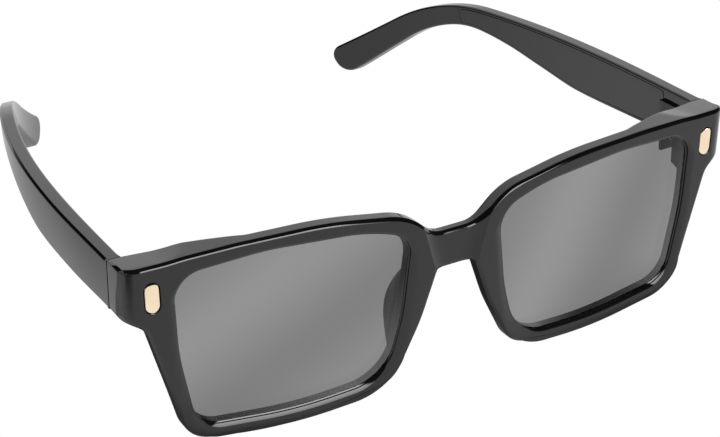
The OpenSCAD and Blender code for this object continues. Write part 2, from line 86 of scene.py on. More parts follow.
# [x, z, corner radius] of one half of the front, from the bridge outwards
HALF = [
    (5.2, -9.0, 6), (12.2, -2.4, 14), (30, 0.7, 90), (50, 1.2, 90), (73.2, 0.83, 0.15), (73.94, 0.1, 0.15),
    (74.6, -10.9, 2), (69.9, -13.6, 5), (62.6, -42.9, 8), (36, -47.6, 80),
    (15.2, -42.7, 8), (8.7, -29, 50), (4.9, -17.6, 1.6),
]
OPENING = [
    (11, -7.6, 6), (22, -3.8, 40), (44, -2.1, 60), (63.5, -3.1, 6), (63.2, -22, 60),
    (60.3, -40.3, 7), (38, -42.9, 90), (17, -41.5, 11), (13.1, -27, 60),
]
# Height of a temple along it, [distance from the seam, height]
HEIGHTS = [
    (0, 10.9), (25, 12.1), (46, 12.3), (60, 10.2), (75, 7.3), (88, 5.7), (100, 5.7), (120, 6.7), (140, 8.2),
]
TEMPLE_LEN = 140
CURL, CURL_POWER, CURL_REACH, BOW = 28.0, 3.1, 136.0, 0.6
BEND_START, BEND_R, BEND_ANGLE = 83.0, 55.5, math.radians(33)
COVER_S, COVER_INSET = (10.5, 91), 0.9
BAY_S, BAY_INSET = (12, 88), 1.5
TIP_R = 3.6


def clamp(value, low=0.0, high=1.0):
    return max(low, min(high, value))


def smooth(value):
    value = clamp(value)
    return value * value * (3 - 2 * value)


def rounded(corners, chord=0.7):
    """A closed outline with each corner's radius drawn as an arc and its straights cut into short steps."""
    points = []
    count = len(corners)
    for i in range(count):
        a, b, c = (Vector(corners[k % count][:2]) for k in (i - 1, i, i + 1))
        radius = corners[i][2]
        if radius == 0:
            points.append(b)
            continue
        u, v = (a - b).normalized(), (c - b).normalized()
        half = math.acos(clamp(u.dot(v), -1, 1)) / 2
        middle = b + (u + v).normalized() * (radius / math.sin(half))
        start = b + u * (radius / math.tan(half)) - middle
        end = b + v * (radius / math.tan(half)) - middle
        first = math.atan2(start.y, start.x)
        sweep = (math.atan2(end.y, end.x) - first + math.pi) % (2 * math.pi) - math.pi
        steps = max(3, math.ceil(abs(sweep) / math.radians(8)), math.ceil(abs(sweep) * radius / chord))
        for k in range(steps + 1):
            angle = first + sweep * k / steps
            points.append(middle + Vector((math.cos(angle), math.sin(angle))) * radius)
    dense = []
    for i, p in enumerate(points):
        q = points[(i + 1) % len(points)]
        cuts = max(1, math.ceil((q - p).length / (chord * 1.6)))
        dense += [p.lerp(q, k / cuts) for k in range(cuts)]
    return dense


def area(outline):
    return sum(p.x * q.y - q.x * p.y for p, q in zip(outline, outline[1:] + outline[:1])) / 2


def outward(outline):
    """Unit normals that point out of a loop, one for each point."""
    turn = 1 if area(outline) > 0 else -1
    normals = []
    count = len(outline)
    for i in range(count):
        along = outline[(i + 1) % count] - outline[i - 1]
        normals.append(Vector((along.y, -along.x)).normalized() * turn)
    return normals


def between(loops, points, triangles):
    """Whether each triangle's middle lies inside an odd number of the loops."""
    middles = np.array([sum((points[k] for k in tri), Vector((0, 0))) / 3 for tri in triangles])
    inside = np.zeros(len(middles), dtype=bool)
    for loop in loops:
        for p, q in zip(loop, loop[1:] + loop[:1]):
            spans = (p.y > middles[:, 1]) != (q.y > middles[:, 1])
            if p.y != q.y:
                crossing = p.x + (middles[:, 1] - p.y) * (q.x - p.x) / (q.y - p.y)
                inside ^= spans & (middles[:, 0] < crossing)
    return inside


# ---------------------------------------------------------------- a skin made of rings and filled faces
class Skin:
    """Vertices on a (u, v) sheet at a depth, joined into one closed mesh. lift() takes them to space."""

    def __init__(self, lift):
        self.lift = lift
        self.points, self.flat, self.faces = [], [], []

    def add(self, u, v, depth):
        self.points.append(self.lift(u, v, depth))
        self.flat.append(Vector((u, v)))
        return len(self.points) - 1

    def ring(self, outline, normals, inset, depth):
        """One ring; inset goes against the normals, and depth(u, v, i) gives each point's depth."""
        ring = []
        for i, (p, n) in enumerate(zip(outline, normals)):
            d = inset(i) if callable(inset) else inset
            q = p - n * d
            ring.append(self.add(q.x, q.y, depth(q.x, q.y, i)))
        return ring

    def strip(self, a, b):
        count = len(a)
        for i in range(count):
            k = (i + 1) % count
            self.faces.append((a[i], a[k], b[k], b[i]))

    def strips(self, rings):
        for a, b in zip(rings, rings[1:]):
            self.strip(a, b)

    def fill(self, loops, depth, step, extra=()):
        """Triangles inside the first loop and outside the others, on the surface depth(u, v)."""
        index, edges = [], []
        for loop in loops:
            first = len(index)
            index += loop
            edges += [(first + i, first + (i + 1) % len(loop)) for i in range(len(loop))]
        spots = [self.flat[i].copy() for i in index]
        tree = kdtree.KDTree(len(spots))
        for i, p in enumerate(spots):
            tree.insert((p.x, p.y, 0), i)
        tree.balance()
        low = Vector((min(p.x for p in spots), min(p.y for p in spots)))
        high = Vector((max(p.x for p in spots), max(p.y for p in spots)))
        inner = [Vector(p) for p in extra]
        inner = [p for p in inner if tree.find((p.x, p.y, 0))[2] > 0.2]
        crowd = kdtree.KDTree(len(inner) + 1)
        for i, p in enumerate(inner):
            crowd.insert((p.x, p.y, 0), i)
        crowd.insert((1e6, 1e6, 0), len(inner))
        crowd.balance()
        row = 0
        y = low.y + step / 2
        while y < high.y:
            x = low.x + (step / 2 if row % 2 else step)
            while x < high.x:
                if tree.find((x, y, 0))[2] > step * 0.62 and crowd.find((x, y, 0))[2] > step * 0.45:
                    inner.append(Vector((x, y)))
                x += step
            y += step * 0.87
            row += 1
        out, _, triangles, origin, _, _ = delaunay_2d_cdt(spots + inner, edges, [], 0, 1e-6)
        wanted = between([[self.flat[i] for i in loop] for loop in loops], out, triangles)
        made = {}
        for tri, keep in zip(triangles, wanted):
            if not keep:
                continue
            corners = []
            for k in tri:
                known = [o for o in origin[k] if o < len(index)]
                if known:
                    corners.append(index[known[0]])
                    continue
                if k not in made:
                    made[k] = self.add(out[k].x, out[k].y, depth(out[k].x, out[k].y))
                corners.append(made[k])
            self.faces.append(tuple(corners))

    def build(self, name, sharp=32):
        mesh = bpy.data.meshes.new(name)
        mesh.from_pydata([place(p) for p in self.points], [], self.faces)
        mesh.update()
        return finish_mesh(name, mesh, sharp)


def finish_mesh(name, mesh, sharp):
    """Turns the faces outwards, drops loose vertices, and shades the mesh smooth but for its creases."""
    bm = bmesh.new()
    bm.from_mesh(mesh)
    bmesh.ops.remove_doubles(bm, verts=bm.verts, dist=1e-7)
    bmesh.ops.delete(bm, geom=[v for v in bm.verts if not v.link_faces], context="VERTS")
    bmesh.ops.recalc_face_normals(bm, faces=bm.faces)
    if bm.calc_volume(signed=True) < 0:
        bmesh.ops.reverse_faces(bm, faces=bm.faces)
    bm.to_mesh(mesh)
    bm.free()
    mesh.shade_smooth()
    mesh.set_sharp_from_angle(angle=math.radians(sharp))
    piece = bpy.data.objects.new(name, mesh)
    scene.collection.objects.link(piece)
    weigh = piece.modifiers.new("weighted_normals", "WEIGHTED_NORMAL")
    weigh.keep_sharp = True
    weigh.weight = 60
    return piece


def bevel_steps(radius, count):
    """(inset, depth) pairs from the wall to the face of a rounded edge."""
    return [
        (radius * (1 - math.cos(math.pi / 2 * k / count)), radius * (1 - math.sin(math.pi / 2 * k / count)))
        for k in range(count + 1)
    ]


# (inset, depth) pairs, from the wall to the face, of the front's outer edge: a chamfer, and a flatter
# facet where it meets the face
FRONT_EDGE = [(0, 0.74), (0.02, 0.67), (0.08, 0.6), (0.52, 0.16), (0.6, 0.1), (0.8, 0.022), (0.9, 0)]
# The same for the temple's outer edge, which has the chamfer alone
TEMPLE_EDGE = [(0, 0.58), (0.02, 0.52), (0.07, 0.46), (0.46, 0.07), (0.52, 0.02), (0.58, 0)]


# ---------------------------------------------------------------- front
def wrap(x):
    return WRAP_SLOPE * (math.sqrt(x * x + WRAP_ROUND * WRAP_ROUND) - WRAP_ROUND)


def tilted_y(depth, z):
    """y in the wearing frame of a point at that depth and height on the tilted front."""
    return depth / math.cos(FRONT_TILT) - z * math.tan(FRONT_TILT)


def recess_edge(z):
    """|x| of the rim's edge beside the bridge."""
    return 5.2 + 0.26 * (z + 18)


def face_depth(x, z):
    """Depth of the front's own face: the wrap, the recess of the bridge, and the rounded outer corner."""
    x = abs(x)
    depth = wrap(x)
    edge = recess_edge(z)
    if x < edge:
        share = clamp((edge - x) / 3.2)
        depth += BRIDGE_RECESS * (1 - (1 - share) ** 2)
    start = FACE_X - CORNER_R
    if x > start:
        across = min(x - start, CORNER_R * 0.985)
        depth += (CORNER_R - math.sqrt(CORNER_R ** 2 - across ** 2)) * 0.96
    return depth


def back_depth(x, z):
    """Depth of the front's back: the rim, the ramp up to the end piece, and the end piece itself."""
    x = abs(x)
    rim = wrap(x) + RIM_DEPTH
    start = wrap(RAMP_X) + RIM_DEPTH
    ramp = start + (x - RAMP_X) * 0.43 + max(0, x - RAMP_KNEE) * 0.34
    ramp = rim + max(0, ramp - rim) * smooth((x - RAMP_X + 2) / 5)
    block = min(max(rim, ramp), BLOCK_Y)
    # above the hinge the back runs in one slight bow from the rim to the seam, as a hood
    share = clamp((x - RAMP_X) / (KNUCKLE_SIDE - RAMP_X))
    hood = start + (SEAM_Y - start) * (share + 0.35 * share * (1 - share))
    over = smooth((z - HOOD_Z) / 0.5) * smooth((x - RAMP_X + 1) / 2)
    block += (max(rim, hood) - block) * over
    # the knuckle's side wall steps back to the seam
    block += (SEAM_Y - block) * smooth((x - KNUCKLE_SIDE + 0.15) / 0.3)
    low = smooth((z + 13.4) / 0.7)
    return rim + (block - rim) * low


def back_y(x, z):
    """The block's faces are square to the hinge, and the rim's are tilted."""
    deep = back_depth(x, z)
    rim = wrap(abs(x)) + RIM_DEPTH
    share = smooth((deep - rim - 1.0) / 2.0)
    return tilted_y(deep, z) * (1 - share) + deep * share


def front_y(x, z):
    return tilted_y(face_depth(x, z), z)


def seam_top(y):
    """Highest z of the end piece's top, which slopes down to the temple's."""
    return 0.95 - (y - 4) * 0.1


def front_lift(u, v, y):
    """To space, with the top held under seam_top() towards the end pieces."""
    level = seam_top(y) + 3 * (1 - smooth((abs(u) - 46) / 20))
    return (u, y, min(v, level))


def pill(centre, width, height):
    """A pill's outline, upright."""
    points = []
    r = width / 2
    half = (height - width) / 2
    for top in (1, -1):
        for k in range(17):
            angle = math.pi * k / 16 + (0 if top > 0 else math.pi)
            points.append(centre + Vector((r * math.cos(angle), half * top + r * math.sin(angle))))
    return points


def make_front():
    skin = Skin(front_lift)
    outline = rounded(HALF + [(-x, z, r) for x, z, r in reversed(HALF)], 0.6)
    if area(outline) < 0:
        outline.reverse()
    normals = outward(outline)

    def near_seam(i):
        return smooth((abs(outline[i].x) - 69.5) / 1.5) if outline[i].y > -14 else 0.0

    edge = FRONT_EDGE[0][1]
    # the edges take a little off the outline, so it starts a little larger, but for the end pieces
    grow = [0.24 * (1 - smooth((abs(p.x) - 60) / 6)) for p in outline]
    rings = []
    for inset, drop in reversed(FRONT_EDGE):
        rings.append(skin.ring(outline, normals, lambda i, a=inset: a - grow[i],
                               lambda u, v, i, d=drop: front_y(u, v) + d))
    front_ring = rings[0]
    # wall, with enough rings for the end piece's sloping top
    back_edge = [0.62 * (1 - near_seam(i)) + 0.22 * near_seam(i) for i in range(len(outline))]
    start = [front_y(p.x, p.y) + edge for p in outline]
    stop = [back_y(p.x, p.y) - back_edge[i] for i, p in enumerate(outline)]
    for k in range(1, 10):
        rings.append(skin.ring(outline, normals, lambda i: -grow[i],
                               lambda u, v, i, s=k / 10: start[i] + (stop[i] - start[i]) * s))
    for k in range(6):
        turn = math.pi / 2 * k / 5
        rings.append(skin.ring(
            outline, normals,
            lambda i, t=turn: back_edge[i] * (1 - math.cos(t)) - grow[i],
            lambda u, v, i, t=turn: back_y(u, v) - back_edge[i] * (1 - math.sin(t))))
    skin.strips(rings)
    back_ring = rings[-1]

    holes_front, holes_back = [], []
    for side in (1, -1):
        opening = [Vector((p.x * side, p.y)) for p in rounded(OPENING, 0.6)]
        out = outward(opening)
        # the lip is a shallow dish, widest below the lens and tight above it
        ledge = 0.26
        below = [smooth(0.5 - 0.8 * n.y) for n in out]
        width = [0.7 + 2.3 * b for b in below]
        drop = [0.4 + 0.48 * b for b in below]
        dish = [(0, 1), (0.012, 0.87), (0.035, 0.76)]
        dish += [(0.035 + 0.965 * k / 10, 0.74 * (1 - k / 10) ** 2) for k in range(1, 11)]
        loop = []
        for across, share in reversed(dish):
            loop.append(skin.ring(
                opening, out,
                lambda i, a=across: -width[i] * a - ledge,
                lambda u, v, i, s=share: front_y(u, v) + drop[i] * s))
        sheet = lambda depth: (lambda u, v, i: tilted_y(wrap(abs(u)) + depth, v))
        loop.append(skin.ring(opening, out, -ledge, sheet(LENS_DEPTH - 0.22)))
        loop.append(skin.ring(opening, out, -0.02, sheet(LENS_DEPTH - 0.1)))
        loop.append(skin.ring(opening, out, 0.0, sheet(LENS_DEPTH - 0.08)))
        loop.append(skin.ring(opening, out, 0.0, sheet(LENS_DEPTH + LENS_T + 0.04)))
        for k in range(1, 4):
            loop.append(skin.ring(opening, out, 0.0, lambda u, v, i, s=k / 4: (
                tilted_y(wrap(abs(u)) + LENS_DEPTH + LENS_T + 0.04, v) * (1 - s)
                + (back_y(u, v) - 0.48) * s)))
        for k in range(6):
            turn = math.pi / 2 * k / 5
            loop.append(skin.ring(opening, out, -0.9 * (1 - math.cos(turn)), lambda u, v, i, t=turn: (
                back_y(u, v) - 0.48 * (1 - math.sin(t)))))
        skin.strips(loop)
        holes_front.append(loop[0])
        holes_back.append(loop[-1])
        # pocket of the rivet
        centre = Vector((RIVET.x * side, RIVET.y))
        pocket = pill(centre, RIVET_W + 0.28, RIVET_H + 0.28)
        out = outward(pocket)
        loop = []
        for inset, drop in reversed(bevel_steps(0.22, 4)):
            loop.append(skin.ring(pocket, out, -inset, lambda u, v, i, d=drop: front_y(u, v) + d))
        loop.append(skin.ring(pocket, out, 0.0, lambda u, v, i: front_y(u, v) + 0.9))
        skin.strips(loop)
        skin.fill([loop[-1]], lambda u, v: front_y(u, v) + 0.9, 1.2)
        holes_front.append(loop[0])

    # points along the creases of the bridge and of the outer corners
    crease = []
    for side in (1, -1):
        for k in range(60):
            z = -6 - k * 0.25
            crease.append((side * (recess_edge(z) + 0.02), z))
            crease.append((side * (recess_edge(z) - 0.3), z))
        for dx in (0.3, 0.9, 1.5, 2.1, 2.6, 3.0):
            crease += [(side * (FACE_X - CORNER_R + dx), 0.3 - k * 0.7) for k in range(18)]
    skin.fill([front_ring] + holes_front, front_y, 1.3, crease)
    steps = []
    for side in (1, -1):
        for k in range(34):
            z = 0.4 - k * 0.42
            steps.append((side * (KNUCKLE_SIDE - 0.16), z))
            steps.append((side * (KNUCKLE_SIDE + 0.16), z))
        for k in range(60):
            across = 48 + k * 0.38
            steps += [(side * across, z) for z in (-13.45, -12.65, -2.65, -2.35, -2.05)]
    skin.fill([back_ring] + holes_back, back_y, 1.3, steps)
    return skin.build("acetate_front_shell", sharp=24)


def make_lens(side):
    """A tinted lens with a gentle dome, its edge bedded in the rim."""
    opening = [Vector((p.x * side, p.y)) for p in rounded(OPENING, 1.0)]
    out = outward(opening)
    middle = Vector((38.0 * side, -23.0))

    def dome(u, v):
        offset = Vector((u, v)) - middle
        return 0.6 * max(0.0, 1 - (offset.x / 24.5) ** 2 - (offset.y / 19.3) ** 2) ** 2

    skin = Skin(lambda u, v, y: (u, y, v))
    front = lambda u, v, i=0: tilted_y(wrap(abs(u)) + LENS_DEPTH - dome(u, v), v)
    rear = lambda u, v, i=0: tilted_y(wrap(abs(u)) + LENS_DEPTH + LENS_T - dome(u, v), v)
    rings = [skin.ring(opening, out, -0.12, front)]
    for back in (0.2, LENS_T - 0.2):
        rings.append(skin.ring(opening, out, -LENS_BITE, lambda u, v, i, d=back: front(u, v) + d))
    rings.append(skin.ring(opening, out, -0.12, rear))
    skin.strips(rings)
    skin.fill([rings[0]], front, 2.4)
    skin.fill([rings[-1]], rear, 2.4)
    return skin.build("tinted_lens_" + ("left" if side > 0 else "right"))


def make_rivet(side):
    """A pill of plated metal, its face in two facets with a ridge up the middle and a bright rounded rim."""
    centre = Vector((RIVET.x * side, RIVET.y))
    loop = pill(centre, RIVET_W - 0.06, RIVET_H - 0.06)
    out = outward(loop)
    base = tilted_y(wrap(RIVET.x), centre.y)

    def face(u, v, i=0):
        plane = tilted_y(wrap(RIVET.x), v) + 0.07 * (abs(u) - RIVET.x)
        return plane - 0.3 + 0.26 * abs(u - centre.x)

    skin = Skin(lambda u, v, y: (u, y, v))
    rings = [skin.ring(loop, out, 0.0, lambda u, v, i: base + 0.8 - (v - centre.y) * 0.087)]
    for k in range(6):
        turn = math.pi / 2 * k / 5
        rings.append(skin.ring(loop, out, 0.24 * (1 - math.cos(turn)), lambda u, v, i, t=turn: (
            face(u, v) + 0.24 * (1 - math.sin(t)))))
    skin.strips(rings)
    skin.fill([rings[-1]], face, 0.55, [(centre.x, centre.y + k * 0.3) for k in range(-10, 11)])
    skin.fill([rings[0]], lambda u, v: base + 0.8 - (v - centre.y) * 0.087, 1.2)
    return skin.build("gold_rivet_" + ("left" if side > 0 else "right"), sharp=12)


def make_pad(side):
    """A soft pad on the back of the rim, a crest that dies away at both ends."""
    points, faces = [], []
    rows, cols = 44, 30
    top, bottom = -13.4, -39.0
    for i in range(rows + 1):
        t = i / rows
        z = top + (bottom - top) * t
        swell = math.sqrt(max(0.0, 1 - (2 * t - 1) ** 2))
        centre_x = 8.7 + 5.9 * t
        half = (1.2 + 1.3 * math.sin(math.pi * min(1, t * 1.1))) * swell ** 0.8
        stand = (2.0 + 4.4 * math.sin(math.pi * clamp(t * 1.02)) ** 1.2) * swell
        for k in range(cols):
            angle = 2 * math.pi * k / cols
            x = (centre_x + half * math.cos(angle)) * side
            y = tilted_y(wrap(centre_x) + RIM_DEPTH - 0.6 + stand * math.sin(angle) * 1.02, z)
            if math.sin(angle) < 0:
                y = tilted_y(wrap(centre_x) + RIM_DEPTH - 0.6 + 0.5 * swell * math.sin(angle), z)
            points.append(place((x, y, z)))
    for i in range(rows):
        for k in range(cols):
            n = (k + 1) % cols
            faces.append((i * cols + k, i * cols + n, (i + 1) * cols + n, (i + 1) * cols + k))
    mesh = bpy.data.meshes.new("pad")
    mesh.from_pydata(points, [], faces)
    mesh.update()
    return finish_mesh("nose_pad_soft_" + ("left" if side > 0 else "right"), mesh, 60)


# ---------------------------------------------------------------- temples
def inward(y):
    return CURL * (max(0, y) / CURL_REACH) ** CURL_POWER - BOW * math.sin(math.pi * clamp(y / CURL_REACH))


def bend_at(s):
    return clamp((s - BEND_START) / (BEND_R * BEND_ANGLE)) * BEND_ANGLE


def top_point(s):
    if s < BEND_START:
        return Vector((s, 0.0))
    a = bend_at(s)
    past = max(0.0, s - BEND_START - BEND_R * BEND_ANGLE)
    return Vector((
        BEND_START + BEND_R * math.sin(a) + past * math.cos(a),
        -BEND_R * (1 - math.cos(a)) - past * math.sin(a)))


def side_point(s, drop):
    a = bend_at(s)
    return top_point(s) - Vector((math.sin(a), math.cos(a))) * drop


def height_at(s):
    last = len(HEIGHTS) - 1
    i = next((k for k in range(last) if s <= HEIGHTS[k + 1][0]), last - 1)
    t = (s - HEIGHTS[i][0]) / (HEIGHTS[i + 1][0] - HEIGHTS[i][0])
    p0, p1, p2, p3 = (HEIGHTS[clamp(k, 0, last)][1] for k in (i - 1, i, i + 1, i + 2))
    return 0.5 * (2 * p1 + (p2 - p0) * t + (2 * p0 - 5 * p1 + 4 * p2 - p3) * t * t
                  + (3 * p1 - p0 - 3 * p2 + p3) * t ** 3)


def side_loop(s0, s1, inset, r0, r1, step=1.2):
    """Outline of the temple seen from the side, s0 to s1 along it, in the temple's own (y, z)."""
    count = max(2, math.ceil((s1 - s0) / step))
    along = [s0 + (s1 - s0) * i / count for i in range(count + 1)]
    # the arcs of the corners need some room at both ends
    along = [s for s in along[1:-1] if s0 + 1.3 * r0 < s < s1 - 1.6 * max(r0, r1)]
    corners = [(*side_point(s0, inset), r0)]
    corners += [(*side_point(s, inset), 0) for s in along]
    corners += [(*side_point(s1, inset), r1), (*side_point(s1, height_at(s1) - inset), r1)]
    corners += [(*side_point(s, height_at(s) - inset), 0) for s in reversed(along)]
    corners.append((*side_point(s0, height_at(s0) - inset), r0))
    outline = rounded(corners, 0.8)
    return outline if area(outline) > 0 else outline[::-1]


def temple_lift(side):
    def lift(u, v, t):
        # near the seam the outer face leans with the end piece's
        lean = -0.06 * (v + 5.4) * (1 - t / TEMPLE_T) * (1 - smooth(u / 35))
        return (side * (FACE_X - inward(u) - t + lean), u + SEAM_Y + SEAM_GAP, v)
    return lift


def make_temple(side):
    skin = Skin(temple_lift(side))
    outline = side_loop(0, TEMPLE_LEN, 0, 0.5, TIP_R)
    normals = outward(outline)
    # the edge is crisp at the seam and softer towards the tip
    edge = [0.16 + 0.42 * smooth((p.x - 0.4) / 1.2) + 0.35 * smooth((p.x - 90) / 40) for p in outline]
    edge = [min(e, 0.4) if p.x < 1.2 else e for e, p in zip(edge, outline)]
    rings = []
    # the outer edge is chamfered like the front's, but for the end at the seam
    ease = [0.35 + 0.65 * smooth((p.x - 0.2) / 0.6) for p in outline]
    for inset, drop in reversed(TEMPLE_EDGE):
        rings.append(skin.ring(outline, normals, lambda i, a=inset: a * ease[i],
                               lambda u, v, i, d=drop: d * ease[i]))
    for k in range(7):
        turn = math.pi / 2 * k / 6
        rings.append(skin.ring(outline, normals, lambda i, t=turn: edge[i] * (1 - math.cos(t)),
                               lambda u, v, i, t=turn: TEMPLE_T - edge[i] * (1 - math.sin(t))))
    skin.strips(rings)
    skin.fill([rings[0]], lambda u, v: 0.0, 1.8)
    # recess of the cover, then the bay under it
    cover = side_loop(*COVER_S, COVER_INSET, 0.8, 0.8)
    out = outward(cover)
    rim = [
        skin.ring(cover, out, -0.1, lambda u, v, i: TEMPLE_T),
        skin.ring(cover, out, 0.0, lambda u, v, i: TEMPLE_T - 0.08),
        skin.ring(cover, out, 0.0, lambda u, v, i: BAY_FLOOR),
    ]
    skin.strips(rim)
    bay = side_loop(*BAY_S, BAY_INSET, 0.4, 0.4)
    out = outward(bay)
    well = [
        skin.ring(bay, out, 0.0, lambda u, v, i: BAY_FLOOR),
        skin.ring(bay, out, 0.0, lambda u, v, i: WALL),
    ]
    skin.strips(well)
    skin.fill([rings[-1], rim[0]], lambda u, v: TEMPLE_T, 1.8)
    skin.fill([rim[-1], well[0]], lambda u, v: BAY_FLOOR, 1.8)
    skin.fill([well[-1]], lambda u, v: WALL, 2.5)
    return skin.build("acetate_temple_" + ("left" if side > 0 else "right"))


def make_cover(side):
    skin = Skin(temple_lift(side))
    outline = side_loop(*COVER_S, COVER_INSET, 0.8, 0.8)
    normals = outward(outline)
    gap, edge = 0.05, 0.12
    rings = [
        skin.ring(outline, normals, gap, lambda u, v, i: BAY_FLOOR + 0.01),
        skin.ring(outline, normals, gap, lambda u, v, i: TEMPLE_T - edge),
        skin.ring(outline, normals, gap + edge * 0.3, lambda u, v, i: TEMPLE_T - edge * 0.3),
        skin.ring(outline, normals, gap + edge, lambda u, v, i: TEMPLE_T),
    ]
    skin.strips(rings)
    skin.fill([rings[-1]], lambda u, v: TEMPLE_T, 1.8)
    skin.fill([rings[0]], lambda u, v: BAY_FLOOR + 0.01, 1.8)
    return skin.build("inner_cover_" + ("left" if side > 0 else "right"))


# ---------------------------------------------------------------- materials
def node_material(name):
    material = bpy.data.materials.new(name)
    material.use_nodes = True
    nodes = material.node_tree.nodes
    return material, nodes, material.node_tree.links, nodes["Principled BSDF"]


def object_noise(nodes, links, scale, detail=3.0, stretch=(1, 1, 1), roughness=0.5):
    place_node = nodes.new("ShaderNodeTexCoord")
    mapping = nodes.new("ShaderNodeMapping")
    mapping.inputs["Scale"].default_value = stretch
    noise = nodes.new("ShaderNodeTexNoise")
    noise.inputs["Scale"].default_value = scale
    noise.inputs["Detail"].default_value = detail
    noise.inputs["Roughness"].default_value = roughness
    links.new(place_node.outputs["Object"], mapping.inputs["Vector"])
    links.new(mapping.outputs["Vector"], noise.inputs["Vector"])
    return noise


def ramp(nodes, links, source, stops):
    node = nodes.new("ShaderNodeValToRGB")
    while len(node.color_ramp.elements) < len(stops):
        node.color_ramp.elements.new(0.5)
    for element, (position, colour) in zip(node.color_ramp.elements, stops):
        element.position = position
        element.color = (*colour, 1)
    links.new(source, node.inputs["Fac"])
    return node


def spread(nodes, links, source, low, high):
    node = nodes.new("ShaderNodeMapRange")
    node.inputs["From Min"].default_value = 0.3
    node.inputs["From Max"].default_value = 0.7
    node.inputs["To Min"].default_value = low
    node.inputs["To Max"].default_value = high
    links.new(source, node.inputs["Value"])
    return node


def surface(name, dark, light, rough, metallic=0.0, scale=220.0, stretch=(1, 1, 1), bump=0.0,
            bump_scale=1500.0, bump_stretch=None):
    """Two tones mixed by noise, with roughness and a fine bump that vary with it."""
    material, nodes, links, shader = node_material(name)
    noise = object_noise(nodes, links, scale, 4.0, stretch)
    colour = ramp(nodes, links, noise.outputs["Fac"], [(0.3, dark), (0.7, light)])
    links.new(colour.outputs["Color"], shader.inputs["Base Color"])
    grain = object_noise(nodes, links, bump_scale, 2.0, bump_stretch or stretch)
    roughness = spread(nodes, links, grain.outputs["Fac"], rough[0], rough[1])
    links.new(roughness.outputs["Result"], shader.inputs["Roughness"])
    shader.inputs["Metallic"].default_value = metallic
    if bump:
        relief = nodes.new("ShaderNodeBump")
        relief.inputs["Strength"].default_value = bump
        relief.inputs["Distance"].default_value = 0.00002
        links.new(grain.outputs["Fac"], relief.inputs["Height"])
        links.new(relief.outputs["Normal"], shader.inputs["Normal"])
    return material


def lens_material():
    """Neutral grey tint under a mirror coating, stronger in soft slanting bands that are painted reflection
    streaks.
    """
    material, nodes, links, shader = node_material("lens_tint")
    nodes.remove(shader)
    output = nodes["Material Output"]
    cloud = object_noise(nodes, links, 9.0, 1.0)
    tint = ramp(nodes, links, cloud.outputs["Fac"], [(0.3, (0.44, 0.44, 0.442)), (0.7, (0.45, 0.45, 0.453))])
    clear = nodes.new("ShaderNodeBsdfTransparent")
    links.new(tint.outputs["Color"], clear.inputs["Color"])
    gloss = nodes.new("ShaderNodeBsdfGlossy")
    gloss.inputs["Roughness"].default_value = 0.02
    gloss.inputs["Color"].default_value = (0.95, 0.95, 0.95, 1)

    def math_node(kind, a, b):
        node = nodes.new("ShaderNodeMath")
        node.operation = kind
        for socket, value in zip(node.inputs, (a, b)):
            if isinstance(value, (int, float)):
                socket.default_value = value
            else:
                links.new(value, socket)
        return node.outputs[0]

    where = nodes.new("ShaderNodeTexCoord").outputs["Object"]
    split = nodes.new("ShaderNodeSeparateXYZ")
    links.new(where, split.inputs["Vector"])
    painted_streak_bands = []
    # painted reflection streaks, one per lens: [normal of the band in x and z, its distance from the origin in m,
    # direction in which it is counted]
    for normal, away, sign in (((-0.49, 0.871), 0.0528, -1), ((0.901, -0.433), 0.0128, 1)):
        along = nodes.new("ShaderNodeVectorMath")
        along.operation = "DOT_PRODUCT"
        along.inputs[1].default_value = (normal[0], 0, normal[1])
        links.new(where, along.inputs[0])
        painted_streak_bands.append(math_node("MULTIPLY_ADD", along.outputs["Value"], float(sign)))
        painted_streak_bands[-1].node.inputs[2].default_value = -sign * away
    chooser = nodes.new("ShaderNodeMix")
    chooser.data_type = "FLOAT"
    links.new(math_node("GREATER_THAN", split.outputs["X"], 0.0), chooser.inputs[0])
    links.new(painted_streak_bands[0], chooser.inputs[2])
    links.new(painted_streak_bands[1], chooser.inputs[3])
    scaled = nodes.new("ShaderNodeMapRange")
    scaled.inputs["From Min"].default_value = -0.02
    scaled.inputs["From Max"].default_value = 0.04
    links.new(chooser.outputs[0], scaled.inputs["Value"])
    grey = lambda level: (level, level, level)
    # painted reflection: soft slanting bright bands fixed on the lens in object space
    painted_streak = ramp(nodes, links, scaled.outputs["Result"], [
        (0.0, grey(0.15)), (0.15, grey(0.2)), (0.33, grey(1.0)), (0.55, grey(0.05)), (0.72, grey(0.0)),
        (0.95, grey(0.7))])
    painted_streak.color_ramp.interpolation = "B_SPLINE"
    # mirror coating: a base of 0.02, plus up to 0.17 more where the painted reflection streaks are
    coating_and_painted_streaks = math_node("MULTIPLY_ADD", painted_streak.outputs["Color"], 0.17)
    coating_and_painted_streaks.node.inputs[2].default_value = 0.02
    facing = nodes.new("ShaderNodeLayerWeight")
    facing.inputs["Blend"].default_value = 0.5
    graze = math_node("POWER", facing.outputs["Facing"], 5.0)
    rest = math_node("SUBTRACT", 1.0, coating_and_painted_streaks)
    share = math_node("MULTIPLY_ADD", graze, rest)
    links.new(coating_and_painted_streaks, share.node.inputs[2])
    mix = nodes.new("ShaderNodeMixShader")
    links.new(share, mix.inputs["Fac"])
    links.new(clear.outputs["BSDF"], mix.inputs[1])
    links.new(gloss.outputs["BSDF"], mix.inputs[2])
    links.new(mix.outputs["Shader"], output.inputs["Surface"])
    return material


